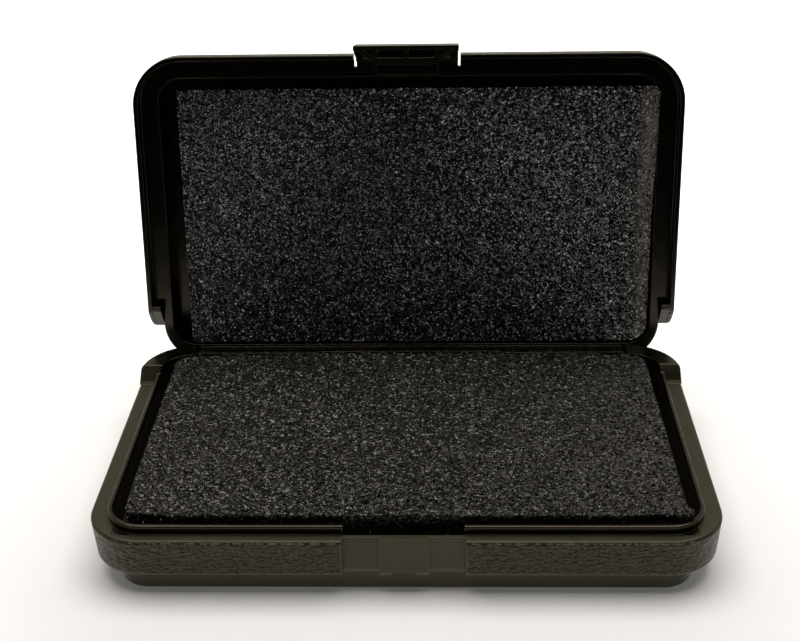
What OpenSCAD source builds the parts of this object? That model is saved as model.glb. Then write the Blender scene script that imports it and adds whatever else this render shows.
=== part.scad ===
// Small blow-moulded hard case, lined with foam and shown standing open.
// Origin: centre of the base's underside. X runs along the hinge, +Y to the rear, +Z up.
// Every piece is drawn as the closed case has it, and then swung to the open rest pose.

/* [Case] */
// Width of the case across the textured bands
body_w = 170; // [150:1:200]
// Depth of the case, front to rear
body_d = 100; // [88:1:120]
// Plan radius of the outer corners
corner_r = 15.5; // [13:0.5:20]
// Thickness of the moulded walls
wall = 1.3; // [0.9:0.1:1.5]
// Running gap left between pieces that close on each other
gap = 0.3; // [0.25:0.05:0.5]

/* [Base] */
// Height of the base at its rim
base_h = 17.2; // [16:0.2:24]
// Height of the textured band under the rim
band_h = 11.4; // [10.8:0.1:12]
// How far the smooth lower body is set in from the band at the front and rear
step_in = 2.8; // [2.6:0.1:3.6]
// How far the lower body is set in at the sides
step_side = 7.2; // [3:0.1:8]
// Plan radius of the lower body's corners
foot_r = 9; // [7:0.5:12]
// Slope of the lower body, as the inset gained at its foot
foot_draft = 0.3; // [0.2:0.1:1]
// Rounding of the outer edges
edge_r = 0.9; // [0.5:0.1:1.2]
// Width of the flat rim at the sides, outside the lip
rim_side = 5.0; // [4.5:0.1:6]
// Width of the flat rim at the front, outside the lip
rim_front = 3.6; // [3.2:0.1:5]
// Thickness of the raised lip
lip_t = 1.3; // [1:0.1:1.8]
// Height of the raised lip
lip_h = 2.4; // [1.2:0.1:3]
// Distance of the cavity's rear wall from the rear face
rear_wall = 6.7; // [6.7:0.1:7.5]
// Height of the cavity floor above the table
floor_h = 4.7; // [4:0.1:6]

/* [Rear collar] */
// Height of the collar above the rim
collar_h = 4.3; // [3.8:0.1:5]
// Length of the collar along each side, measured from the rear face
collar_len = 18.2; // [14:0.1:20]
// Run of the slope at the collar's front end
collar_ramp = 5.0; // [2:0.1:6]

/* [Lid] */
// Height of the lid above the land that rests on the collar
lid_h = 12.6; // [12:0.1:20]
// How far the lid's upper body is set in from its skirt
lid_step = 4.2; // [3.8:0.1:5]
// Thickness of the lid's skirt
skirt_t = 1.5; // [1.2:0.1:1.8]
// Plan radius of the lid body's corners
lid_corner_r = 12.5; // [10:0.5:14]
// Rounding of the lid's top edge
lid_edge_r = 2.4; // [1.5:0.1:3]
// Slope of the lid's sides, as the inset gained at its roof
lid_draft = 1; // [0.4:0.1:1.5]
// Width of the land between the lid body's outside and its cavity
land_w = 3.0; // [3:0.1:4]
// Distance of the lid cavity's rear wall from the rear face
lid_rear_wall = 5.4; // [5.4:0.1:6.5]
// Plan radius of the lid cavity's corners
lid_cavity_r = 7.5; // [5:0.5:10]

/* [Hinge] */
// Height of the hinge axis under the rim
axis_drop = 1.7; // [1.4:0.1:2]
// Distance of the hinge axis inside the rear face
axis_in = 1.2; // [1:0.1:1.4]
// How far the lid opens from closed
lid_open = 99; // [92:1:105]
// Distance of the lid's hinge leaf inside the case's sides
leaf_side = 15.8; // [15.5:0.1:20]
// Thickness of the hinge leaf
leaf_t = 4.6; // [4:0.1:4.7]
// Radius of the hinge knuckles
knuckle_r = 2.8; // [2.4:0.1:2.9]
// Length of each knuckle
knuckle_len = 7.6; // [6:0.1:9]
// Diameter of the steel hinge pins
hinge_pin_d = 2.0; // [1.6:0.1:2.4]
// Radial clearance of the pins in their bores
pin_clear = 0.05; // [0.02:0.01:0.1]

/* [Latch] */
// Width of the latch
latch_w = 31.2; // [28:0.2:40]
// Gap between the latch and the recess it drops into, at each side
latch_side_gap = 0.7; // [0.4:0.1:1]
// Thickness of the latch plate
latch_t = 1.3; // [1:0.1:1.4]
// Distance of the latch's outer face in front of the case
latch_out = 3.0; // [2.8:0.1:3.4]
// Height of the latch pivot above the base's rim
pivot_up = 2.2; // [2.1:0.1:2.5]
// Radius of the latch's pivot barrels
barrel_r = 1.8; // [1.6:0.1:1.8]
// Width of the lid's lug between the barrels
lug_w = 18.8; // [12:0.2:20]
// Diameter of the latch pin
latch_pin_d = 1.6; // [1.2:0.1:2]
// Distance between the latch's three ribs
rib_pitch = 9.1; // [9:0.1:11]
// Thickness of the ribs and of the hook bar
rib_t = 1.2; // [0.9:0.1:1.4]
// How far the hook bar reaches under the catch
hook_reach = 1.5; // [1:0.1:1.5]
// Slant of the latch's cheeks, as how far they lean in
cheek_lean = 1.2; // [0:0.1:1.6]
// How far the lid's ledge is cut back behind the latch
ledge_back = 2.0; // [1.8:0.1:3]
// How far the latch stands off its latched place at rest
latch_rest = 5; // [4:1:12]

/* [Catch] */
// Width of the middle catch pad
catch_w = 13.2; // [12:0.2:16]
// How far the middle pad's face lies behind the front face
catch_in = 1.0; // [0.8:0.1:1.3]
// How far the side pads' faces lie behind the front face
pad_in = 2.1; // [1.8:0.1:2.3]
// How much higher the side pads end than the band
pad_up = 1.9; // [0.6:0.1:2.4]
// Width of the notch in the catch pad's lower edge
notch_w = 6.6; // [4:0.2:8]
// Height of the notch in the catch pad's lower edge
notch_h = 0.8; // [0.5:0.1:1.2]

/* [Foam] */
// Distance of the foam blocks' cut sides inside the case's sides
foam_side = 10.2; // [10:0.1:20]
// How far the base foam stands above the rim
foam_proud = 4.1; // [2:0.1:4.2]
// Gap between the base foam and the cavity's rear wall
foam_rear_gap = 0.5; // [0.4:0.1:1.5]
// How far the lid foam is pushed to the right of the middle
lid_foam_shift = 2.6; // [0:0.1:2.6]
// Gap between the lid foam and the cavity's rear wall
lid_foam_rear_gap = 0.4; // [0.3:0.1:1]
// Gap between the lid foam and the cavity's front wall
lid_foam_front_gap = 3.5; // [0.3:0.1:12]
// Clearance between the foam blocks and the walls at the rounded corners
foam_fit = 0.3; // [0.2:0.1:0.6]
// Thickness of the adhesive film under each foam
film_t = 0.2; // [0.2:0.1:0.4]
// Diameter of the blow hole in each inner wall
blow_hole_d = 3; // [2:0.5:5]

/* [Hidden] */
SHELL_COLOUR = "#2b2b29";
FOAM_COLOUR = "#1b1b1d";
STEEL_COLOUR = "#b9bbbd";
FILM_COLOUR = "#8e8a7d";
ROUND = 72;
EPS = 0.01;

half_w = body_w / 2;
half_d = body_d / 2;
band_z = base_h - band_h;
collar_z = base_h + collar_h;
land_z = collar_z + gap;
lid_top = land_z + lid_h;
skirt_z = base_h + gap;
ledge_z = land_z + wall;
collar_y = half_d - collar_len + collar_ramp;
ramp_gap = gap * sqrt(1 + pow(collar_ramp / collar_h, 2)) + EPS;
lip_r = corner_r - rim_side;
cavity_w = body_w - 2 * (rim_side + lip_t);
cavity_front = half_d - rim_front - lip_t;
cavity_rear = half_d - rear_wall;
cavity_r = lip_r - lip_t;
floor_w = body_w - 2 * (step_side + wall);
floor_front = cavity_front - wall - 0.4;
floor_r = cavity_r - wall;
lid_cavity_w = body_w - 2 * (lid_step + land_w);
lid_front = half_d - lid_step - land_w;
lid_rear = half_d - lid_rear_wall;

// Hinge
axis_y = half_d - axis_in;
axis_z = base_h - axis_drop;
leaf_w = body_w - 2 * leaf_side;
leaf_in = half_d - leaf_t;
gutter_y = leaf_in - gap - 0.2;
gutter_half = leaf_w / 2 + gap;
gutter_floor = axis_z - knuckle_r - gap;
knuckle_pitch = knuckle_len + 0.4;
knuckle_start = gutter_half - 5 * knuckle_pitch + 0.4;
pin_room = hinge_pin_d / 2 + gap;
// Height at which the leaf's outer face meets the sill behind it when the lid is fully open
sill_z = axis_z - (axis_in + gap - axis_in * cos(lid_open)) / sin(lid_open);
hinge_bore_r = hinge_pin_d / 2 + pin_clear;
hinge_pin_from = knuckle_start + 1;
hinge_pin_to = gutter_half - gap;

// Latch and catch
plate_y = -half_d - latch_out;
pivot_y = plate_y + latch_t + gap + barrel_r;
pivot_z = base_h + pivot_up;
latch_half = latch_w / 2;
bay_half = latch_half + latch_side_gap;
latch_bore_r = latch_pin_d / 2 + pin_clear;
catch_y = -half_d + catch_in;
pad_y = -half_d + pad_in;
rib_clear = gap + 0.1;
hook_top = band_z - rib_clear;
hook_in = catch_y + hook_reach;
middle_rib_in = catch_y - rib_clear;
outer_rib_in = pad_y - rib_clear;
plate_top = pivot_z + barrel_r;
lug_half = lug_w / 2;
lug_back = -floor_front - gap - 0.2;

// Foam
foam_top = base_h + foam_proud;
foam_w = body_w - 2 * foam_side;
lid_ceiling = lid_top - floor_h;
air_in = lid_draft + wall;

// Points of an arc, for rounded corners in a profile
function arc(x, y, r, from, to, steps = 4) =
    [for (i = [0:steps]) let (a = from + (to - from) * i / steps) [x + r * cos(a), y + r * sin(a)]];

// Profile of a block's edge: r is its plan radius, the lower and upper edges are rounded,
// and the lower edge lies farther in by the draft
function edge_profile(r, low, high, low_r, high_r, draft = 0) = concat(
    [[0, low]],
    low_r > 0 ? arc(r - draft - low_r, low + low_r, low_r, -90, 0) : [[r - draft, low]],
    high_r > 0 ? arc(r - high_r, high - high_r, high_r, 0, 90) : [[r, high]],
    [[0, high]]);

// Rounded rectangular block whose rim has the given profile
module block(w, d, r, low, high, low_r = 0, high_r = 0, draft = 0) {
    profile = edge_profile(r, low, high, low_r, high_r, draft);
    for (turn = [[1, 1, 0], [-1, 1, 90], [-1, -1, 180], [1, -1, 270]])
        translate([turn[0] * (w / 2 - r), turn[1] * (d / 2 - r), 0])
            rotate([0, 0, turn[2]])
                rotate_extrude(angle = 90, $fn = ROUND) polygon(profile);
    for (side = [0, 180]) {
        rotate([0, 0, side]) translate([w / 2 - r, 0, 0]) rotate([90, 0, 0])
            linear_extrude(d - 2 * r, center = true) polygon(profile);
        rotate([0, 0, side + 90]) translate([d / 2 - r, 0, 0]) rotate([90, 0, 0])
            linear_extrude(w - 2 * r, center = true) polygon(profile);
    }
    translate([-(w / 2 - r), -(d / 2 - r), low]) cube([w - 2 * r, d - 2 * r, high - low]);
}

// Box given by its lowest and highest corners
module span(a, b) translate(a) cube([b[0] - a[0], b[1] - a[1], b[2] - a[2]]);

// Rod along X between two places
module rod(from, to, y, z, r) translate([from, y, z]) rotate([0, 90, 0])
    cylinder(r = r, h = to - from, $fn = ROUND);

module both_sides() {
    children();
    mirror([1, 0, 0]) children();
}

// Outside of the base, shrunk by s for the air space within the walls
module base_outside(s = 0) {
    er = s > 0 ? 0 : edge_r;
    block(body_w - 2 * s, body_d - 2 * s, corner_r - s, band_z + s, base_h - s, er, er, 0.6);
    block(body_w - 2 * (step_side + s), body_d - 2 * (step_in + s), foot_r - s,
        s, band_z + s + EPS, er * 0.6, 0, foot_draft);
    both_sides() intersection() {
        block(body_w - 2 * s, body_d - 2 * s, corner_r - s, band_z + edge_r * 2, collar_z - s, 0, er);
        rotate([90, 0, 90]) linear_extrude(half_w) polygon([
            [collar_y - collar_ramp + s * 1.5, base_h - s - EPS], [half_d, base_h - s - EPS],
            [half_d, collar_z], [collar_y + s * 1.5, collar_z]]);
        span([gutter_half + s, 0, 0], [half_w, half_d, collar_z]);
    }
}

// Inside of the base, grown by g to leave the inner wall
module base_cavity(g = 0) {
    translate([0, (cavity_rear - cavity_front) / 2, 0])
        block(cavity_w + 2 * g, cavity_rear + cavity_front + 2 * g, cavity_r + g,
            floor_h + wall * 3 - g, collar_z + 1);
    translate([0, (cavity_rear - floor_front) / 2, 0])
        block(floor_w + 2 * g, cavity_rear + floor_front + 2 * g, floor_r + g, floor_h - g, collar_z + 1);
}

// Space behind the base's rear edge for the hinge leaf and its knuckles
module gutter(g = 0) {
    difference() {
        span([-gutter_half - g, gutter_y - g, gutter_floor - g], [gutter_half + g, half_d + 1, collar_z + 1]);
        if (g == 0) span([-knuckle_start + 0.4, gutter_y - 1, gutter_floor - 1],
            [knuckle_start - 0.4, half_d + 2, sill_z]);
    }
}

// Recess in the base's front for the latch, around the three pads
module latch_bay(g = 0) {
    both_sides() span([catch_w / 2, -half_d - 1, band_z + pad_up], [bay_half + g, pad_y + g, base_h + 1]);
    both_sides() span([catch_w / 2, -half_d - 1, band_z - 1],
        [bay_half + g, -half_d + step_in + g, band_z + pad_up + EPS]);
    span([-catch_w / 2 - EPS, -half_d - 1, band_z - 1], [catch_w / 2 + EPS, catch_y + g, base_h + 1]);
    span([-notch_w / 2, -half_d - 1, band_z - 1], [notch_w / 2, -half_d + step_in + g, band_z + notch_h]);
}

module base_lip() {
    low = base_h - 1;
    front = half_d - rim_front;
    depth = front + half_d;
    difference() {
        translate([0, (half_d - front) / 2, 0])
            block(body_w - 2 * rim_side, depth, lip_r, low, base_h + lip_h, 0, lip_t * 0.4);
        base_cavity();
        span([-half_w, collar_y - 0.6, low - 1], [half_w, half_d + 1, base_h + lip_h + 1]);
        span([-bay_half + 0.4, -half_d, low - 1], [bay_half - 0.4, 0, base_h + lip_h + 1]);
    }
}

// Moulded knuckles: every second place belongs to the base, the others to the lid
module knuckles(first, count, foot_low, foot_high, foot_back) {
    both_sides() for (i = [first:2:first + 2 * (count - 1)]) {
        from = knuckle_start + i * knuckle_pitch;
        rod(from, from + knuckle_len, axis_y, axis_z, knuckle_r);
        span([from, foot_back, foot_low], [from + knuckle_len, axis_y + axis_in, foot_high]);
    }
}

module base_shell() {
    color(SHELL_COLOUR) difference() {
        union() {
            difference() {
                base_outside();
                base_cavity();
                gutter();
                latch_bay();
                // The cavity reaches closer to the front behind the latch
                span([-bay_half + 0.4, pad_y + lip_t, base_h - 5],
                    [bay_half - 0.4, -half_d + rim_front + lip_t + 1, base_h + 1]);
            }
            base_lip();
            knuckles(0, 3, gutter_floor - 1, axis_z, axis_y - knuckle_r);
        }
        // Air space between the two walls
        difference() {
            base_outside(wall);
            base_cavity(wall);
            gutter(wall);
            latch_bay(wall);
            span([-bay_half, -half_d, base_h - 5 - wall],
                [bay_half, -half_d + rim_front + 2 * lip_t, base_h]);
        }
        both_sides() rod(knuckle_start - 1, gutter_half, axis_y, axis_z, hinge_bore_r);
        translate([0, -half_d / 2, wall + 0.5]) cylinder(d = blow_hole_d, h = floor_h, $fn = ROUND);
    }
}

// Rounded rectangle between two places front and rear
module round_plan(w, front, rear, r) {
    translate([-w / 2, -front + r]) square([w, front + rear - 2 * r]);
    translate([-w / 2 + r, -front]) square([w - 2 * r, front + rear]);
    for (x = [-w / 2 + r, w / 2 - r], y = [-front + r, rear - r]) translate([x, y]) circle(r, $fn = ROUND);
}

// Foam blocks seen from above: rectangles, pressed round where the hollow's corners are
module base_foam_plan() intersection() {
    translate([-foam_w / 2, -half_d]) square([foam_w, half_d + cavity_rear - foam_rear_gap]);
    round_plan(floor_w - 2 * foam_fit, floor_front - foam_fit, cavity_rear - foam_fit, floor_r - foam_fit);
}

module lid_foam_plan() intersection() {
    translate([lid_foam_shift - foam_w / 2, lid_foam_front_gap - lid_front])
        square([foam_w, lid_front + lid_rear - lid_foam_front_gap - lid_foam_rear_gap]);
    round_plan(lid_cavity_w - 2 * foam_fit, lid_front - foam_fit, lid_rear - foam_fit,
        lid_cavity_r - foam_fit);
}

module base_foam_adhesive() color(FILM_COLOUR)
    translate([0, 0, floor_h]) linear_extrude(film_t) base_foam_plan();

module base_foam() color(FOAM_COLOUR)
    translate([0, 0, floor_h + film_t]) linear_extrude(foam_top - floor_h - film_t) base_foam_plan();

module hinge_pin_left() color(STEEL_COLOUR)
    rod(-hinge_pin_to, -hinge_pin_from, axis_y, axis_z, hinge_pin_d / 2);

module hinge_pin_right() color(STEEL_COLOUR)
    rod(hinge_pin_from, hinge_pin_to, axis_y, axis_z, hinge_pin_d / 2);

// Swings the closed lid's pieces to their open rest pose
module opened() translate([0, axis_y, axis_z]) rotate([-lid_open, 0, 0])
    translate([0, -axis_y, -axis_z]) children();

// Tips the latched latch out to where it rests
module tipped() translate([0, pivot_y, pivot_z]) rotate([-latch_rest, 0, 0])
    translate([0, -pivot_y, -pivot_z]) children();

// Upper body of the lid, which narrows a little towards its roof
module lid_body() translate([0, lid_step / 2, 0]) mirror([0, 0, 1])
    block(body_w - 2 * lid_step, body_d - lid_step, lid_corner_r,
        -lid_top, -land_z, lid_edge_r, 0, lid_draft);

module lid_cavity() translate([0, (lid_rear - lid_front) / 2, 0])
    block(lid_cavity_w, lid_rear + lid_front, lid_cavity_r, land_z - 1, lid_ceiling);

// Everything on the right behind the collar's slope, from a place outwards: the slope is shifted
// forward by the given distance
module behind_slope(shift, start) {
    low = skirt_z - 1;
    high = ledge_z + 1;
    from = collar_y - shift - collar_ramp * (collar_z - low) / collar_h;
    to = collar_y - shift + collar_ramp * (high - collar_z) / collar_h;
    translate([start, 0, 0]) rotate([90, 0, 90]) linear_extrude(half_w + 1 - start)
        polygon([[from, low], [half_d + 1, low], [half_d + 1, high], [to, high]]);
}

// Skirt that stands on the base's rim, with the ledge that carries it
module lid_skirt() difference() {
    block(body_w, body_d, corner_r, skirt_z, ledge_z, 0.4, edge_r);
    difference() {
        block(body_w - 2 * skirt_t, body_d - 2 * skirt_t, corner_r - skirt_t, skirt_z - 1, land_z);
        both_sides() behind_slope(ramp_gap + skirt_t, half_w - lid_step);
    }
    lid_cavity();
    both_sides() behind_slope(ramp_gap, -1);
    span([-bay_half, -half_d - 1, skirt_z - 1], [bay_half, -half_d + ledge_back, ledge_z + 1]);
    both_sides() span([latch_half, -half_d, skirt_z - 1], [bay_half, -half_d + lid_step, ledge_z + 1]);
}

// Leaf along the lid's rear edge that carries its knuckles
module lid_leaf() {
    difference() {
        span([-leaf_w / 2, leaf_in, axis_z], [leaf_w / 2, half_d, land_z + 1]);
        span([-knuckle_start + 0.4, leaf_in - 1, axis_z - 1],
            [knuckle_start - 0.4, half_d + 1, axis_z + pin_room]);
        both_sides() for (i = [0:2:4]) {
            from = knuckle_start + i * knuckle_pitch;
            rod(from - 0.4, from + knuckle_len + 0.4, axis_y, axis_z, knuckle_r + gap);
        }
    }
    knuckles(1, 2, axis_z, axis_z + knuckle_r, leaf_in);
}

// Lug on the lid's front that the latch turns on
module latch_lug() {
    rod(-lug_half, lug_half, pivot_y, pivot_z, barrel_r);
    span([-lug_half, pivot_y, pivot_z - barrel_r], [lug_half, lug_back, pivot_z + barrel_r]);
    span([-lug_half, -half_d + ledge_back, pivot_z - barrel_r], [lug_half, lug_back, ledge_z]);
}

module lid_closed() {
    difference() {
        union() {
            difference() {
                lid_body();
                lid_cavity();
            }
            lid_skirt();
            lid_leaf();
            latch_lug();
        }
        // Air space between the roof and the inner wall; the sides are pressed solid
        translate([0, lid_step / 2, 0])
            block(body_w - 2 * lid_step - 2 * air_in, body_d - lid_step - 2 * air_in,
                lid_corner_r - air_in, lid_ceiling + wall, lid_top - wall);
        both_sides() rod(knuckle_start - 1, gutter_half, axis_y, axis_z, hinge_bore_r);
        rod(-latch_half, latch_half, pivot_y, pivot_z, latch_bore_r);
        translate([0, -half_d / 2, lid_ceiling - 1]) cylinder(d = blow_hole_d, h = wall + 1.5, $fn = ROUND);
    }
}

module lid_shell() color(SHELL_COLOUR) opened() lid_closed();

module lid_foam_adhesive() color(FILM_COLOUR) opened()
    translate([0, 0, lid_ceiling - film_t]) linear_extrude(film_t) lid_foam_plan();

module lid_foam() color(FOAM_COLOUR) opened()
    translate([0, 0, land_z]) linear_extrude(lid_ceiling - film_t - land_z) lid_foam_plan();

// The latch as it sits when latched: plate, cheeks, ribs, hook bar and pivot barrels
module latch_closed() {
    low = hook_top - rib_t;
    inner = plate_y + latch_t;
    difference() {
        union() {
            span([-latch_half, plate_y, low], [latch_half, inner, plate_top]);
            both_sides() {
                translate([0, 0, low + 1]) linear_extrude(pivot_z - low - 1) polygon([
                    [latch_half - rib_t, inner - EPS], [latch_half, inner - EPS],
                    [latch_half - cheek_lean, outer_rib_in],
                    [latch_half - cheek_lean - rib_t, outer_rib_in]]);
                rod(lug_half + gap, latch_half, pivot_y, pivot_z, barrel_r);
                span([lug_half + gap, inner - EPS, pivot_z - barrel_r],
                    [latch_half, pivot_y, pivot_z + barrel_r]);
                // Slanted gusset from the hook bar's end to the plate's end
                translate([0, 0, low]) linear_extrude(rib_t * 2) polygon([
                    [rib_pitch, outer_rib_in - rib_t / 2],
                    [rib_pitch + rib_t * 1.4, outer_rib_in - rib_t / 2],
                    [latch_half - rib_t, inner - EPS], [latch_half - rib_t * 2.6, inner - EPS]]);
            }
            for (x = [-rib_pitch, 0, rib_pitch])
                span([x - rib_t / 2, inner - EPS, low],
                    [x + rib_t / 2, x == 0 ? middle_rib_in : outer_rib_in, pivot_z - barrel_r - gap]);
            span([-rib_pitch - rib_t / 2, middle_rib_in - 0.1, low],
                [rib_pitch + rib_t / 2, hook_in, hook_top]);
        }
        rod(-latch_half - 1, latch_half + 1, pivot_y, pivot_z, latch_bore_r);
    }
}

module latch() color(SHELL_COLOUR) opened() tipped() latch_closed();

module latch_pin() color(STEEL_COLOUR) opened()
    rod(-latch_half + gap, latch_half - gap, pivot_y, pivot_z, latch_pin_d / 2);

base_shell();
base_foam_adhesive();
base_foam();
hinge_pin_left();
hinge_pin_right();
lid_shell();
lid_foam_adhesive();
lid_foam();
latch();
latch_pin();
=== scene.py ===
"""Studio picture of a small blow-moulded hard case that stands open with foam in both halves.

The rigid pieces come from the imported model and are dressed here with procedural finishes.
The two foam blocks are modelled anew over the plain solids that stand for them.
"""

import logging
import math
from dataclasses import dataclass, field
from enum import Enum
from typing import Any

import bpy
from mathutils import Euler, Matrix, Vector

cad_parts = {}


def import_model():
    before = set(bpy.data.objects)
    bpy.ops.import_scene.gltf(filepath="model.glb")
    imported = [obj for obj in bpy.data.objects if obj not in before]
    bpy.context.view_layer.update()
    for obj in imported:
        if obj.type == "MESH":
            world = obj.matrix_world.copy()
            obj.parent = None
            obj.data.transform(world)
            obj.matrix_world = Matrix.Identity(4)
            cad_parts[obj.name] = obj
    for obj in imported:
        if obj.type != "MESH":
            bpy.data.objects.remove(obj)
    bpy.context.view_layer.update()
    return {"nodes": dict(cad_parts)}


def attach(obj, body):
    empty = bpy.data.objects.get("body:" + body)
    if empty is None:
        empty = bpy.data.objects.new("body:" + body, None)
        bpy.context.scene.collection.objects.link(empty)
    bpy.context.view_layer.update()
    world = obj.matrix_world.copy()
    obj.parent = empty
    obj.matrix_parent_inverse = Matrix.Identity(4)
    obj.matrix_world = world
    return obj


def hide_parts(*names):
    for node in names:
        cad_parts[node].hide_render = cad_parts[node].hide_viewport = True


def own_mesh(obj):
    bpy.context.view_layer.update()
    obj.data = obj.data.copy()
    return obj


LOG = logging.getLogger("hard_case")
MM = 0.001
HINGE = Vector((0.0, 48.8 * MM, 15.5 * MM))
LID_OPEN = math.radians(99.0)

Socket = bpy.types.NodeSocket
Tree = bpy.types.NodeTree
Step = tuple[Socket, float, float]

# Names of the node types that most patterns are made of
MATH = "ShaderNodeMath"
VECTOR = "ShaderNodeVectorMath"
RANGE = "ShaderNodeMapRange"
SPLIT = "ShaderNodeSeparateXYZ"
NOISE = "ShaderNodeTexNoise"
CELLS = "ShaderNodeTexVoronoi"
MIX = "ShaderNodeMix"
BUMP = "ShaderNodeBump"
SOFT = {"interpolation_type": "SMOOTHSTEP"}

# Middle of the body's corner rounding; the height is out of reach, so that only x and y count
CORNER = Vector((69.5, 34.5, 1000.0)) * MM
# How far from there the leather grain starts, and where the smooth latch bay ends
BAND_REACH = (14.1 * MM, 14.5 * MM)
BAY_SIDE = (17.4 * MM, 16.6 * MM)
BAY_FRONT = (-43.0 * MM, -44.0 * MM)


class Half(Enum):
    """The two halves of the case, each with its own textured band."""

    BASE = "base"
    LID = "lid"


@dataclass(frozen=True)
class OuterSkin:
    """Where a half's outside begins, as pairs of lengths between which the finish changes."""

    side: tuple[float, float]
    deep: tuple[float, float]
    rim: tuple[float, float]
    end: tuple[float, float]


OUTER = {
    Half.BASE: OuterSkin((77.2 * MM, 77.6 * MM), (46.5 * MM, 46.9 * MM), (18.2 * MM, 17.6 * MM),
                         (2 * MM, MM)),
    Half.LID: OuterSkin((78.6 * MM, 79.2 * MM), (44.8 * MM, 45.2 * MM), (22.2 * MM, 22.6 * MM),
                        (31 * MM, 32 * MM)),
}


def to_linear(code: str) -> tuple[float, float, float, float]:
    """Turns an sRGB colour into the linear values that a shader uses.

    Args:
        code: the colour as "#rrggbb".

    Returns:
        Red, green, blue and alpha from 0 to 1, linear.
    """
    parts = [int(code[i : i + 2], 16) / 255 for i in (1, 3, 5)]
    low = [p / 12.92 if p <= 0.04045 else ((p + 0.055) / 1.055) ** 2.4 for p in parts]
    return (low[0], low[1], low[2], 1.0)


def add_node(tree: Tree, kind: str, inputs: dict[Any, Any] | None = None, **settings: Any) -> bpy.types.Node:
    """Adds one node with its settings, values and links.

    Args:
        tree: the node tree that it goes into.
        kind: the name of the node's type.
        inputs: for each input, by name or number, a value, the socket that feeds it, or a node
            whose first output feeds it.
        settings: properties of the node itself.

    Returns:
        The new node.
    """
    node = tree.nodes.new(kind)
    for key, value in settings.items():
        setattr(node, key, value)
    for key, value in (inputs or {}).items():
        if isinstance(value, bpy.types.Node):
            value = value.outputs[0]
        if isinstance(value, Socket):
            tree.links.new(value, node.inputs[key])
        else:
            node.inputs[key].default_value = value
    return node


def new_material(name: str) -> tuple[bpy.types.Material, Tree]:
    """Makes an empty material.

    Args:
        name: the real material's name.

    Returns:
        The material and its node tree, cleared of nodes.
    """
    material = bpy.data.materials.new(name)
    material.use_nodes = True
    material.node_tree.nodes.clear()
    return material, material.node_tree


def dress(piece: bpy.types.Object, material: bpy.types.Material) -> None:
    """Gives a piece its one material."""
    piece.data.materials.clear()
    piece.data.materials.append(material)


def closed_place(tree: Tree, half: Half) -> Socket:
    """Gives the place of a surface point as the closed case has it.

    Args:
        tree: the material's node tree.
        half: the half that the surface belongs to.

    Returns:
        The socket with the point, in metres.
    """
    here = add_node(tree, "ShaderNodeTexCoord").outputs["Object"]
    if half is Half.BASE:
        return here
    shift = HINGE - Euler((LID_OPEN, 0, 0)).to_matrix() @ HINGE
    turned = add_node(tree, "ShaderNodeMapping", {0: here, 1: shift, 2: (LID_OPEN, 0, 0)})
    return turned.outputs[0]


def soft_mask(tree: Tree, steps: list[Step]) -> Socket:
    """Marks where several values are all past their limits.

    Args:
        tree: the material's node tree.
        steps: for each value its socket, where it starts to count and where it counts in full.

    Returns:
        A socket from 0, outside one of the limits, to 1, inside all of them.
    """
    ramps = [add_node(tree, RANGE, {0: value, 1: start, 2: end}, **SOFT) for value, start, end in steps]
    mask = ramps[0]
    for ramp in ramps[1:]:
        mask = add_node(tree, MATH, {0: mask, 1: ramp}, operation="MULTIPLY")
    return mask.outputs[0]


def band_mask(tree: Tree, place: Socket, low: float, high: float) -> Socket:
    """Marks the outer band that the mould leaves with a leather grain.

    Args:
        tree: the material's node tree.
        place: the point on the closed case.
        low: height of the band's foot in metres.
        high: height of the band's top in metres.

    Returns:
        A socket that is 1 on the grained band and 0 elsewhere.
    """
    folded = add_node(tree, VECTOR, {0: place}, operation="ABSOLUTE")
    past = add_node(tree, VECTOR, {0: folded, 1: CORNER}, operation="SUBTRACT")
    outward = add_node(tree, VECTOR, {0: past, 1: (0.0, 0.0, 0.0)}, operation="MAXIMUM")
    reach = add_node(tree, VECTOR, {0: outward}, operation="LENGTH").outputs["Value"]
    side = add_node(tree, SPLIT, {0: folded}).outputs[0]
    split = add_node(tree, SPLIT, {0: place})
    up = split.outputs[2]
    band = soft_mask(tree, [(reach, *BAND_REACH), (up, low, low + 0.8 * MM), (up, high, high - 0.7 * MM)])
    bay = soft_mask(tree, [(side, *BAY_SIDE), (split.outputs[1], *BAY_FRONT)])
    rest = add_node(tree, MATH, {0: 1.0, 1: bay}, operation="SUBTRACT")
    return add_node(tree, MATH, {0: band, 1: rest}, operation="MULTIPLY").outputs[0]


def outer_mask(tree: Tree, place: Socket, half: Half) -> Socket:
    """Marks the outside of a half, which the blasted mould leaves duller than the inside.

    Args:
        tree: the material's node tree.
        place: the point on the closed case.
        half: the half that the surface belongs to.

    Returns:
        A socket that is 1 outside and 0 inside.
    """
    skin = OUTER[half]
    folded = add_node(tree, SPLIT, {0: add_node(tree, VECTOR, {0: place}, operation="ABSOLUTE")})
    up = add_node(tree, SPLIT, {0: place}).outputs[2]
    mask = soft_mask(tree, [(up, *skin.end)])
    for value, limits in ((folded.outputs[0], skin.side), (folded.outputs[1], skin.deep)):
        wall = soft_mask(tree, [(value, *limits), (up, *skin.rim)])
        mask = add_node(tree, MATH, {0: mask, 1: wall}, operation="MAXIMUM").outputs[0]
    return mask


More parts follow.
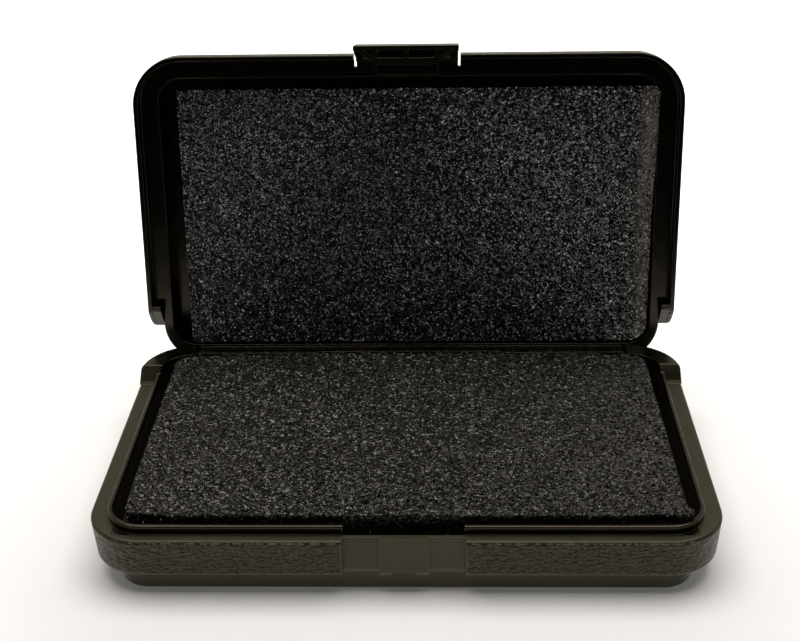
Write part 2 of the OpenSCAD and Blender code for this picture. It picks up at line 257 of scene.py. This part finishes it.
@dataclass(frozen=True)
class BlackPolyethylene:
    """Black high-density polyethylene as it leaves a blow mould: waxy, with a leather-grained band.

    The inside keeps the gloss of the mould. The outside is blasted dull and coloured paler, partly as
    painted light, and its corners carry a paler line, partly wear and partly a painted highlight.
    """

    name: str
    half: Half
    # Carbon-black polyethylene keeps a faint brown cast, and handling greys it in soft patches
    colour: str = "#060503"
    handled: str = "#12110a"
    # The outside's colour: paler than the inside, partly for the blasted finish and partly as painted light
    # from in front
    outside_colour: str = "#19170f"
    # A paler line on the outside's corners and on the foot of the base's band: partly wear, partly a painted
    # highlight
    rubbed_and_highlight: str = "#5a5546"
    rub_and_highlight: float = 0.55
    roughness: float = 0.17
    dull_roughness: float = 0.42
    # The leather: width of a pebble, length of a crease, how much flatter than wide, and their depth
    pebble: float = 1.6 * MM
    crease: float = 1.5 * MM
    flatness: float = 1.7
    grain_depth: float = 0.6 * MM
    # Heights between which the leather lies on the closed case, and whether the top has it too
    band: tuple[float, float] = (5.9 * MM, 16.9 * MM)
    grained_top: bool = False
    # Radius of the corners that the mould leaves soft
    edge: float = 0.5 * MM
    # Sizes of the uneven cooling, of the blasted mould's tooth, of the patches and of the leather's drift
    wave: float = 16.0 * MM
    tooth: float = 0.35 * MM
    patch: float = 11.0 * MM
    drift: float = 2.5 * MM

    def make(self) -> bpy.types.Material:
        """Builds the material.

        Returns:
            The finished material.
        """
        material, tree = new_material(self.name)
        place = closed_place(tree, self.half)
        soft_edges = add_node(tree, "ShaderNodeBevel", {"Radius": self.edge}, samples=6)
        outer = outer_mask(tree, place, self.half)
        patches = add_node(tree, NOISE, {"Vector": place, "Scale": 1 / self.patch, "Detail": 4.0})
        finish = add_node(tree, RANGE, {0: outer, 3: self.roughness, 4: self.dull_roughness})
        uneven = add_node(tree, RANGE, {0: patches, 1: 0.35, 2: 0.7, 3: 0.0, 4: 0.07})
        roughness = add_node(tree, MATH, {0: finish, 1: uneven}, operation="ADD")
        shader = add_node(tree, "ShaderNodeBsdfPrincipled", {
            "Base Color": self.paint(tree, place, outer, patches, soft_edges), "Roughness": roughness,
            "IOR": 1.49, "Specular Tint": to_linear("#fff3d2"),
            "Normal": self.emboss(tree, place, soft_edges)})
        add_node(tree, "ShaderNodeOutputMaterial", {0: shader})
        return material

    def leather(self, tree: Tree, place: Socket) -> bpy.types.Node:
        """Draws low leather pebbles, parted by short creases that come and go.

        Args:
            tree: the material's node tree.
            place: the point on the closed case.

        Returns:
            The node with the grain's height.
        """
        mask = band_mask(tree, place, *self.band)
        if self.grained_top:
            height = add_node(tree, SPLIT, {0: place}).outputs[2]
            top = soft_mask(tree, [(height, 33.4 * MM, 34.1 * MM)])
            faint = add_node(tree, MATH, {0: top, 1: 0.4}, operation="MULTIPLY")
            mask = add_node(tree, MATH, {0: mask, 1: faint}, operation="MAXIMUM").outputs[0]
        drift = add_node(tree, NOISE, {"Vector": place, "Scale": 1 / self.drift, "Detail": 1.0})
        pushed = add_node(tree, VECTOR, {0: drift.outputs["Color"], 3: 0.6 * MM}, operation="SCALE")
        bent = add_node(tree, VECTOR, {0: place, 1: pushed}, operation="ADD")
        flat = add_node(tree, "ShaderNodeMapping", {0: bent, 3: (1.0, 1.0, self.flatness)})
        pebbles = add_node(tree, CELLS, {"Vector": flat, "Scale": 1 / self.pebble}, feature="SMOOTH_F1")
        domes = add_node(tree, RANGE, {0: pebbles, 1: 0.75, 2: 0.2, 4: 0.6}, **SOFT)
        folds = add_node(tree, NOISE, {"Vector": flat, "Scale": 1 / self.crease, "Detail": 2.0})
        ridges = add_node(tree, RANGE, {0: folds, 1: 0.57, 2: 0.47}, **SOFT)
        rough = add_node(tree, MATH, {0: domes, 1: ridges}, operation="ADD")
        return add_node(tree, MATH, {0: rough, 1: mask}, operation="MULTIPLY")

    def emboss(self, tree: Tree, place: Socket, soft_edges: bpy.types.Node) -> bpy.types.Node:
        """Shapes the surface: walls that cooled unevenly, the tooth of the blasted mould, and the leather.

        Args:
            tree: the material's node tree.
            place: the point on the closed case.
            soft_edges: the node with the rounded normal.

        Returns:
            The node with the finished normal.
        """
        waves = add_node(tree, NOISE, {"Vector": place, "Scale": 1 / self.wave, "Detail": 1.0})
        tooth = add_node(tree, NOISE, {"Vector": place, "Scale": 1 / self.tooth, "Detail": 2.0})
        normal = soft_edges
        for height, depth, strength in ((waves, 0.25 * MM, 0.5), (tooth, 0.012 * MM, 0.6),
                                        (self.leather(tree, place), self.grain_depth, 0.8)):
            normal = add_node(tree, BUMP, {"Height": height, "Distance": depth, "Strength": strength,
                                           "Normal": normal})
        return normal

    def paint(self, tree: Tree, place: Socket, outer: Socket, patches: bpy.types.Node,
              soft_edges: bpy.types.Node) -> Socket:
        """Mixes the colour: the outside paler, partly as painted light, and a paler line on the corners and
        on the foot of the base's band, partly wear and partly a painted highlight.

        Args:
            tree: the material's node tree.
            place: the point on the closed case.
            outer: the mask of the outside.
            patches: the pattern of the handled patches.
            soft_edges: the node with the rounded normal.

        Returns:
            The socket with the colour.
        """
        share = add_node(tree, RANGE, {0: patches, 1: 0.45, 2: 0.75, 3: 0.0, 4: 0.35})
        inside = add_node(tree, MIX, {"Factor": share, 6: to_linear(self.colour),
                                      7: to_linear(self.handled)}, data_type="RGBA")
        # The outside is paler than the inside, partly for the blasted finish and partly as painted light
        skin = add_node(tree, MIX, {"Factor": outer, 6: inside.outputs[2], 7: to_linear(self.outside_colour)},
                        data_type="RGBA")
        # At a corner the rounded normal turns away from the flat one
        face = add_node(tree, "ShaderNodeNewGeometry").outputs["Normal"]
        bend = add_node(tree, VECTOR, {0: soft_edges, 1: face}, operation="DOT_PRODUCT").outputs["Value"]
        corner = soft_mask(tree, [(bend, 0.995, 0.9)])
        up = add_node(tree, SPLIT, {0: place}).outputs[2]
        foot = soft_mask(tree, [(up, 7.1 * MM, 6.3 * MM), (up, 5.5 * MM, 5.8 * MM)])
        either = add_node(tree, MATH, {0: corner, 1: foot}, operation="MAXIMUM")
        # Paler line on the corners and the band's foot, partly wear and partly a painted highlight
        scuff_and_highlight = add_node(tree, MATH, {0: either, 1: self.rub_and_highlight}, operation="MULTIPLY")
        factor = add_node(tree, MATH, {0: scuff_and_highlight, 1: outer}, operation="MULTIPLY")
        return add_node(tree, MIX, {"Factor": factor, 6: skin.outputs[2], 7: to_linear(self.rubbed_and_highlight)},
                        data_type="RGBA").outputs[2]


@dataclass(frozen=True)
class OpenCellFoam:
    """Charcoal open-cell polyurethane foam, cut with a knife: pores in painted shade between thin struts,
    whose glints are partly painted.
    """

    name: str
    half: Half
    pore_shade: str = "#010101"
    strut: str = "#1d1c17"
    painted_glint: str = "#716d5f"
    # Width of a cell, in the range of 0.4 to 1.3 mm that is usual for such foam
    cell: float = 0.7 * MM
    # How far a cell may turn from the cut, as the length added to the unit normal
    tilt: float = 0.9
    # The film on a cut strut: its gloss, how strongly it mirrors, and how rare it is
    roughness: float = 0.24
    coat_ior: float = 1.75
    rarity: float = 1.2
    # The strip along the right wall, in metres of x, where the foam's edge turns up and is painted paler as
    # a highlight
    strip_highlight: str = "#857f74"
    highlight_from: float = 1.0
    highlight_to: float = 1.1

    def make(self) -> bpy.types.Material:
        """Builds the material.

        Returns:
            The finished material.
        """
        material, tree = new_material(self.name)
        place = closed_place(tree, self.half)
        # Open cells: painted shade in the middle, where the pores open, with struts where they meet, cut at
        # different depths
        cells = add_node(tree, CELLS, {"Vector": place, "Scale": 1 / self.cell})
        edge = add_node(tree, RANGE, {0: cells.outputs["Distance"], 1: 0.3, 2: 0.62})
        chance = add_node(tree, "ShaderNodeSeparateColor", {0: cells.outputs["Color"]})
        net = add_node(tree, MATH, {0: edge, 1: chance.outputs[1]}, operation="MULTIPLY")
        # Cut ends of struts that face the light, as glints painted into the colour
        ends = add_node(tree, CELLS, {"Vector": place, "Scale": 1.1 / self.cell})
        dots = add_node(tree, RANGE, {0: ends.outputs["Distance"], 1: 0.52, 2: 0.2})
        luck = add_node(tree, "ShaderNodeSeparateColor", {0: ends.outputs["Color"]})
        bright = add_node(tree, MATH, {0: luck, 1: 2.6}, operation="POWER")
        spark = add_node(tree, MATH, {0: dots, 1: bright}, operation="MULTIPLY")
        height = add_node(tree, MATH, {0: net, 1: spark}, operation="ADD")
        bump = add_node(tree, BUMP, {"Height": height, "Distance": 0.25 * MM, "Strength": 1.0,
                                     "Normal": self.turn_cells(tree, cells.outputs["Color"])})
        # Only the film on a cut strut is glossy, the pores swallow the light
        film = add_node(tree, MATH, {0: chance, 1: self.rarity}, operation="POWER")
        shader = add_node(tree, "ShaderNodeBsdfPrincipled", {
            "Base Color": self.paint(tree, place, net, spark), "Roughness": 0.5, "IOR": 1.5,
            "Specular IOR Level": 0.12, "Coat Weight": film, "Coat Roughness": self.roughness,
            "Coat IOR": self.coat_ior, "Coat Normal": bump, "Normal": bump})
        add_node(tree, "ShaderNodeOutputMaterial", {0: shader})
        return material

    def turn_cells(self, tree: Tree, lots: Socket) -> bpy.types.Node:
        """Lets each cell face its own way, so some catch the light and some stay black.

        Args:
            tree: the material's node tree.
            lots: a random colour for each cell.

        Returns:
            The node with the turned normal.
        """
        lean = add_node(tree, VECTOR, {0: lots, 1: (0.5, 0.5, 0.5)}, operation="SUBTRACT")
        tilt = add_node(tree, VECTOR, {0: lean, 3: 2 * self.tilt}, operation="SCALE")
        face = add_node(tree, "ShaderNodeNewGeometry").outputs["Normal"]
        aimed = add_node(tree, VECTOR, {0: face, 1: tilt}, operation="ADD")
        return add_node(tree, VECTOR, {0: aimed}, operation="NORMALIZE")

    def paint(self, tree: Tree, place: Socket, net: bpy.types.Node, spark: bpy.types.Node) -> Socket:
        """Mixes the colour: painted shade in the pores, the struts, painted glints and a painted highlight
        on the strip along the right wall, a little cloudy all over.

        Args:
            tree: the material's node tree.
            place: the point on the closed case.
            net: the pattern of the struts.
            spark: the pattern of their cut ends, where glints are painted.

        Returns:
            The socket with the colour.
        """
        clouds = add_node(tree, NOISE, {"Vector": place, "Scale": 1 / (6 * MM), "Detail": 3.0})
        level = add_node(tree, RANGE, {0: clouds, 1: 0.3, 2: 0.7, 3: 0.75, 4: 1.15})
        netted = add_node(tree, MATH, {0: net, 1: level}, operation="MULTIPLY")
        body = add_node(tree, MIX, {"Factor": netted, 6: to_linear(self.pore_shade), 7: to_linear(self.strut)},
                        data_type="RGBA")
        lit = add_node(tree, MIX, {"Factor": spark, 6: body.outputs[2], 7: to_linear(self.painted_glint)},
                       data_type="RGBA")
        # A painted highlight on the strip along the right wall, where the foam's edge turns up
        across = add_node(tree, SPLIT, {0: place}).outputs[0]
        strip = soft_mask(tree, [(across, self.highlight_from, self.highlight_to)])
        highlight = add_node(tree, MATH, {0: strip, 1: 0.75}, operation="MULTIPLY")
        return add_node(tree, MIX, {"Factor": highlight, 6: lit.outputs[2], 7: to_linear(self.strip_highlight)},
                        data_type="RGBA").outputs[2]


@dataclass(frozen=True)
class DrawnSteelWire:
    """Drawn steel wire for the pins: bright, with fine marks along it from the die."""

    name: str = "drawn_steel_wire"
    colour: str = "#c3c2bf"

    def make(self) -> bpy.types.Material:
        """Builds the material.

        Returns:
            The finished material.
        """
        material, tree = new_material(self.name)
        here = add_node(tree, "ShaderNodeTexCoord").outputs["Object"]
        # Die marks run along the wire, 0.05 mm apart, drawn at 0.2 mm so that they show
        drawn = add_node(tree, "ShaderNodeMapping", {0: here, 3: (0.02, 1.0, 1.0)})
        marks = add_node(tree, NOISE, {"Vector": drawn, "Scale": 1 / (0.2 * MM)})
        rough = add_node(tree, RANGE, {0: marks, 3: 0.22, 4: 0.42})
        bump = add_node(tree, BUMP, {"Height": marks, "Distance": 0.01 * MM, "Strength": 0.5})
        shader = add_node(tree, "ShaderNodeBsdfPrincipled", {
            "Base Color": to_linear(self.colour), "Metallic": 1.0, "Roughness": rough, "Normal": bump})
        add_node(tree, "ShaderNodeOutputMaterial", {0: shader})
        return material


@dataclass(frozen=True)
class DriedAdhesive:
    """Sprayed contact adhesive, dried to a yellowish, webbed film."""

    name: str = "dried_contact_adhesive"
    colour: str = "#8d8466"
    bare: str = "#5b543f"
    # The spray lands in webs of this width
    web: float = 3.0 * MM

    def make(self) -> bpy.types.Material:
        """Builds the material.

        Returns:
            The finished material.
        """
        material, tree = new_material(self.name)
        here = add_node(tree, "ShaderNodeTexCoord").outputs["Object"]
        webs = add_node(tree, NOISE, {"Vector": here, "Scale": 1 / self.web, "Detail": 5.0})
        tint = add_node(tree, MIX, {"Factor": webs, 6: to_linear(self.bare), 7: to_linear(self.colour)},
                        data_type="RGBA")
        bump = add_node(tree, BUMP, {"Height": webs, "Distance": 0.08 * MM, "Strength": 0.7})
        shader = add_node(tree, "ShaderNodeBsdfPrincipled", {
            "Base Color": tint.outputs[2], "Roughness": 0.4, "IOR": 1.5, "Normal": bump})
        add_node(tree, "ShaderNodeOutputMaterial", {0: shader})
        return material


def swing_open(piece: bpy.types.Object) -> None:
    """Turns a piece that was modelled in the closed lid to where the open lid holds it.

    Args:
        piece: the piece, which ends with its place in its mesh.
    """
    turn = Euler((-LID_OPEN, 0, 0)).to_matrix()
    piece.matrix_world = Matrix.Translation(HINGE - turn @ HINGE) @ turn.to_4x4()
    settle(piece)


def settle(piece: bpy.types.Object) -> None:
    """Puts a piece's place, turn and scale into its mesh."""
    select_only(piece)
    bpy.ops.object.transform_apply(location=True, rotation=True, scale=True)


def select_only(piece: bpy.types.Object) -> None:
    """Selects one piece, makes it active and lets go of all others.

    Args:
        piece: the piece to select.
    """
    bpy.ops.object.select_all(action="DESELECT")
    piece.select_set(True)
    bpy.context.view_layer.objects.active = piece


@dataclass
class FoamBlock:
    """A cut block of foam, modelled as the closed case holds it."""

    name: str
    node: str
    body: str
    half: Half
    low: tuple[float, float, float]
    high: tuple[float, float, float]
    # Corners that the rounded hollow presses in: the signs of x and y and the radius
    pressed: list[tuple[int, int, float]] = field(default_factory=list)
    # Places where the cut edge is torn or lifted: a point, how far it moves and how wide
    pulls: list[tuple[Vector, Vector, float]] = field(default_factory=list)
    # How far the top rises in the middle of its rear edge, and how far its front edge leans out
    crown: float = 0.0
    lean: float = 0.0
    # Remeshing finer than a cell keeps the cut cells in the outline
    voxel: float = 0.55 * MM

    def build(self) -> bpy.types.Object:
        """Models the block.

        Returns:
            The foam piece, at rest in the open case.
        """
        bpy.ops.object.select_all(action="DESELECT")
        low, high = Vector(self.low), Vector(self.high)
        bpy.ops.mesh.primitive_cube_add(size=1, location=(low + high) / 2)
        block = bpy.context.object
        block.name = self.name
        block.scale = high - low
        settle(block)
        for sign_x, sign_y, radius in self.pressed:
            self.round_corner(block, sign_x, sign_y, radius)
        self.roughen(block)
        self.swell(block)
        for point, move, width in self.pulls:
            self.pull(block, point, move, width)
        if self.half is Half.LID:
            swing_open(block)
        bpy.ops.object.shade_smooth()
        return block

    def round_corner(self, block: bpy.types.Object, sign_x: int, sign_y: int, radius: float) -> None:
        """Rounds one upright edge of the block.

        Args:
            block: the block.
            sign_x: 1 for the right side, -1 for the left.
            sign_y: 1 for the rear, -1 for the front.
            radius: the radius in metres.
        """
        mesh = block.data
        middle = (Vector(self.low) + Vector(self.high)) / 2
        for part in (*mesh.vertices, *mesh.edges, *mesh.polygons):
            part.select = False
        upright = [e for e in mesh.edges if all(
            (mesh.vertices[v].co.x - middle.x) * sign_x > 0
            and (mesh.vertices[v].co.y - middle.y) * sign_y > 0 for v in e.vertices)]
        sharp = max(upright, key=lambda e: (
            sum(mesh.vertices[v].co.x * sign_x + mesh.vertices[v].co.y * sign_y for v in e.vertices)
            if abs(mesh.vertices[e.vertices[0]].co.z - mesh.vertices[e.vertices[1]].co.z) > MM else -1.0))
        sharp.select = True
        bpy.ops.object.mode_set(mode="EDIT")
        bpy.ops.mesh.select_mode(type="EDGE")
        bpy.ops.mesh.bevel(offset=radius, segments=6, affect="EDGES")
        bpy.ops.object.mode_set(mode="OBJECT")

    def roughen(self, block: bpy.types.Object) -> None:
        """Cuts the block into cells: a soft sag, an uneven knife cut and pits at the open pores.

        Args:
            block: the block.
        """
        grid = block.modifiers.new("cells", "REMESH")
        grid.mode, grid.voxel_size = "VOXEL", self.voxel
        bpy.ops.object.modifier_apply(modifier=grid.name)
        for name, kind, size, depth in (("sag", "CLOUDS", 26 * MM, 0.3 * MM),
                                        ("knife_cut", "CLOUDS", 4 * MM, 0.25 * MM),
                                        ("pores", "VORONOI", 1.1 * MM, 0.4 * MM)):
            pattern = bpy.data.textures.new(f"{self.name}_{name}", kind)
            pattern.noise_scale = size
            step = block.modifiers.new(name, "DISPLACE")
            step.texture, step.texture_coords = pattern, "LOCAL"
            # All of it goes inwards, so the block keeps its size and stays clear of the walls
            step.strength, step.mid_level = depth, 1.0
            bpy.ops.object.modifier_apply(modifier=step.name)

    def swell(self, block: bpy.types.Object) -> None:
        """Raises the top, most in the middle of its rear edge, and leans its front edge out.

        Args:
            block: the block.
        """
        low, high = Vector(self.low), Vector(self.high)
        middle = (low.x + high.x) / 2
        for vertex in block.data.vertices:
            across = (vertex.co.x - middle) / (high.x - middle)
            deep = (vertex.co.y - low.y) / (high.y - low.y)
            up = (vertex.co.z - low.z) / (high.z - low.z)
            vertex.co.z += self.crown * max(0.0, 1 - across * across) * max(0.0, deep) * up
            vertex.co.y -= self.lean * max(0.0, 1 - deep) * up
        block.data.update()

    @staticmethod
    def pull(block: bpy.types.Object, point: Vector, move: Vector, width: float) -> None:
        """Pulls the foam at a place, and less and less around it.

        Args:
            block: the block.
            point: the middle of the place.
            move: how far and which way.
            width: radius that is drawn along, in metres.
        """
        for vertex in block.data.vertices:
            away = (vertex.co - point).length / width
            if away < 1:
                vertex.co += move * (1 - away * away) ** 2
        block.data.update()


class CaseBase:
    """The base half: its shell, its foam and the film under the foam."""

    def __init__(self, nodes: dict[str, bpy.types.Object]) -> None:
        """Keeps the nodes and plans the piece.

        Args:
            nodes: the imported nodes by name.
        """
        self.nodes = nodes
        self.foam = FoamBlock(
            "base_foam_block", "base_foam", "base", Half.BASE,
            (-75.0 * MM, -43.4 * MM, 4.9 * MM), (75.0 * MM, 42.9 * MM, 21.5 * MM),
            [(1, 1, 4.5 * MM), (-1, 1, 4.5 * MM), (1, -1, 3.0 * MM), (-1, -1, 3.0 * MM)],
            [(Vector((74.0, -41.5, 20.6)) * MM, Vector((1.8, -0.9, 0.2)) * MM, 3.6 * MM),
             (Vector((66.0, -44.0, 21.5)) * MM, Vector((0.0, 0.8, -0.3)) * MM, 9.0 * MM),
             (Vector((-72.0, -44.0, 21.5)) * MM, Vector((0.3, 1.2, -0.3)) * MM, 12.0 * MM)],
            crown=1.3 * MM, lean=0.4 * MM)

    def build(self) -> bpy.types.Object:
        """Models the foam and dresses the shell.

        Returns:
            The foam piece.
        """
        shell = BlackPolyethylene("moulded_black_polyethylene_base", Half.BASE)
        dress(self.nodes["base_shell"], shell.make())
        dress(self.nodes["base_foam_adhesive"], DriedAdhesive().make())
        piece = self.foam.build()
        dress(piece, OpenCellFoam("charcoal_open_cell_foam_base", Half.BASE).make())
        return piece


class CaseLid:
    """The lid half: its shell, its foam and the film behind the foam."""

    def __init__(self, nodes: dict[str, bpy.types.Object]) -> None:
        """Keeps the nodes and plans the piece.

        Args:
            nodes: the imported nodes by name.
        """
        self.nodes = nodes
        self.foam = FoamBlock(
            "lid_foam_block", "lid_foam", "lid", Half.LID,
            (-72.5 * MM, -39.6 * MM, 21.7 * MM), (77.5 * MM, 44.3 * MM, 29.5 * MM),
            [(1, 1, 6.5 * MM), (1, -1, 2.5 * MM), (-1, 1, 2.0 * MM)],
            [(Vector((77.5, -36.0, 21.8)) * MM, Vector((1.3, -0.1, -0.3)) * MM, 40.0 * MM)])

    def build(self) -> bpy.types.Object:
        """Models the foam and dresses the shell.

        Returns:
            The foam piece.
        """
        # The lid is the base's plastic, coloured darker as painted shade, since its inside faces away from
        # the light
        shell = BlackPolyethylene("moulded_black_polyethylene_lid_in_painted_shade", Half.LID, colour="#020203",
                                  handled="#0b0b0a", roughness=0.15, grained_top=True,
                                  band=(17.6 * MM, 23.0 * MM))
        dress(self.nodes["lid_shell"], shell.make())
        dress(self.nodes["lid_foam_adhesive"], DriedAdhesive().make())
        piece = self.foam.build()
        # The lid's foam is the base's foam: darker struts as painted shade and whiter painted glints
        foam = OpenCellFoam("charcoal_open_cell_foam_lid_painted_shade_and_glints", Half.LID, strut="#040404", painted_glint="#f6f3f6",
                            cell=0.64 * MM, tilt=1.3, roughness=0.2, coat_ior=3.0, rarity=2.2,
                            highlight_from=71.0 * MM, highlight_to=74.5 * MM)
        dress(piece, foam.make())
        return piece


class Hardware:
    """The latch and the three steel pins."""

    def __init__(self, nodes: dict[str, bpy.types.Object]) -> None:
        """Keeps the nodes and plans the piece.

        Args:
            nodes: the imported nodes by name.
        """
        self.nodes = nodes

    def build(self) -> None:
        """Dresses the latch in injection-moulded plastic and the pins in steel."""
        # Its band lies out of reach, so the latch stays smooth
        # Its corners get the same paler line, partly wear and partly a painted highlight
        latch = BlackPolyethylene("moulded_black_polypropylene_latch", Half.LID, band=(1.0, 1.1),
                                  outside_colour="#070605", rubbed_and_highlight="#2a2822", roughness=0.3, dull_roughness=0.32,
                                  edge=0.25 * MM)
        dress(self.nodes["latch"], latch.make())
        steel = DrawnSteelWire().make()
        for name in ("hinge_pin_left", "hinge_pin_right", "latch_pin"):
            dress(self.nodes[name], steel)


@dataclass
class Studio:
    """Pale table, white surroundings, a big overhead softbox and the camera."""

    # The camera's place, its turns in radians and its lens in millimetres
    eye: Vector = field(default_factory=lambda: Vector((9.5, -331.3, 228.4)) * MM)
    pitch: float = 0.479
    yaw: float = 0.033
    roll: float = -0.019
    lens: float = 60.19
    # Power of the softbox in watts, brightness of the surroundings, and the painted glow of the card in
    # front
    softbox: float = 7.9
    surround: float = 0.5
    card_glow: float = 0.32
    # The painted light that washes the card for the camera: its darkest place, in the shade of the case, how
    # strong it is there, and how far from there it starts to grow and is full
    wash_middle: tuple[float, float, float] = (0.0, -40.0 * MM, 0.0)
    wash_least: float = 0.085
    wash_reach: tuple[float, float] = (70.0 * MM, 260.0 * MM)
    # Places in y between which the card's glow grows from nothing, in front, to full
    glow_reach: tuple[float, float] = (-170.0 * MM, -80.0 * MM)

    def build(self) -> None:
        """Sets up the camera, table, light and world."""
        self.build_camera()
        self.build_table()
        self.build_light()
        self.build_world()
        bpy.context.scene.view_settings.view_transform = "Standard"

    def build_camera(self) -> None:
        """Places the camera where the photograph was taken from."""
        data = bpy.data.cameras.new("camera")
        data.sensor_width, data.lens = 36.0, self.lens
        data.clip_start, data.clip_end = 0.01, 20.0
        camera = bpy.data.objects.new("camera", data)
        bpy.context.scene.collection.objects.link(camera)
        level = math.cos(self.pitch)
        ahead = Vector((-math.sin(self.yaw) * level, math.cos(self.yaw) * level, -math.sin(self.pitch)))
        right = Vector((math.cos(self.yaw), math.sin(self.yaw), 0.0))
        up = right.cross(ahead)
        right_2 = right * math.cos(self.roll) + up * math.sin(self.roll)
        up_2 = up * math.cos(self.roll) - right * math.sin(self.roll)
        turn = Matrix((right_2, up_2, -ahead)).transposed().to_4x4()
        camera.matrix_world = Matrix.Translation(self.eye) @ turn
        bpy.context.scene.camera = camera

    def build_table(self) -> None:
        """Lays the white card that the case stands on, which ends between the case and the camera."""
        bpy.ops.object.select_all(action="DESELECT")
        bpy.ops.mesh.primitive_plane_add(size=4.0, location=(0.0, 1.79, 0.0))
        table = bpy.context.object
        table.name = "table"
        settle(table)
        material, tree = new_material("white_card")
        seen = add_node(tree, "ShaderNodeLightPath").outputs["Is Camera Ray"]
        # The card glows for the camera, painted light that washes it out to white all round the case
        here = add_node(tree, "ShaderNodeTexCoord").outputs["Object"]
        centred = add_node(tree, VECTOR, {0: here, 1: self.wash_middle}, operation="SUBTRACT")
        away = add_node(tree, VECTOR, {0: centred}, operation="LENGTH").outputs["Value"]
        wash = add_node(tree, RANGE, {0: away, 1: self.wash_reach[0], 2: self.wash_reach[1],
                                      3: self.wash_least, 4: 1.0}, **SOFT)
        # The card just in front of the case glows for all other rays, painted light that the case mirrors
        # and is lit by
        ahead = add_node(tree, SPLIT, {0: here}).outputs[1]
        near = add_node(tree, RANGE, {0: ahead, 1: self.glow_reach[0], 2: self.glow_reach[1],
                                      4: self.card_glow}, **SOFT)
        glow = add_node(tree, RANGE, {0: seen, 3: near, 4: wash})
        card = add_node(tree, "ShaderNodeBsdfDiffuse", {"Color": to_linear("#ecedf2")})
        light = add_node(tree, "ShaderNodeEmission", {"Color": to_linear("#fffefa"), "Strength": glow})
        both = add_node(tree, "ShaderNodeAddShader", {0: card, 1: light})
        add_node(tree, "ShaderNodeOutputMaterial", {0: both})
        dress(table, material)

    def build_light(self) -> None:
        """Hangs the softbox above the case."""
        data = bpy.data.lights.new("softbox", "AREA")
        data.shape, data.size, data.size_y, data.energy = "RECTANGLE", 1.0, 0.6, self.softbox
        data.color = to_linear("#fffaf2")[:3]
        lamp = bpy.data.objects.new("softbox", data)
        bpy.context.scene.collection.objects.link(lamp)
        lamp.location = (0.0, 0.14, 0.85)
        lamp.rotation_euler = (Vector((0, 0.02, 0.03)) - lamp.location).to_track_quat("-Z", "Y").to_euler()

    def build_world(self) -> None:
        """Makes surroundings that are white behind the case and dark on the camera's side."""
        world = bpy.data.worlds.new("studio")
        bpy.context.scene.world = world
        world.use_nodes = True
        tree = world.node_tree
        tree.nodes.clear()
        way = add_node(tree, "ShaderNodeTexCoord").outputs["Generated"]
        depth = add_node(tree, SPLIT, {0: way}).outputs[1]
        behind = add_node(tree, RANGE, {0: depth, 1: -0.05, 2: 0.3, 3: 0.02, 4: self.surround}, **SOFT)
        room = add_node(tree, "ShaderNodeBackground", {0: to_linear("#fff5e0"), 1: behind})
        white = add_node(tree, "ShaderNodeBackground", {0: to_linear("#fefefc"), 1: 1.0})
        seen = add_node(tree, "ShaderNodeLightPath").outputs["Is Camera Ray"]
        both = add_node(tree, "ShaderNodeMixShader", {0: seen, 1: room, 2: white})
        add_node(tree, "ShaderNodeOutputWorld", {0: both})


def main() -> None:
    """Builds and dresses the case, then the studio, and logs the faces of both foam blocks."""
    logging.basicConfig(level=logging.INFO, format="%(name)s: %(message)s")
    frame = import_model()
    nodes = frame["nodes"]
    for half in (CaseBase(nodes), CaseLid(nodes)):
        piece = half.build()
        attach(piece, half.foam.body)
        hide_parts(half.foam.node)
        if half.foam.half is Half.BASE:
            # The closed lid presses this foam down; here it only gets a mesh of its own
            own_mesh(piece)
        LOG.info("%s has %d faces", piece.name, len(piece.data.polygons))
    Hardware(nodes).build()
    LOG.info("latch and pins are dressed")
    Studio().build()


if __name__ == "__main__":
    main()
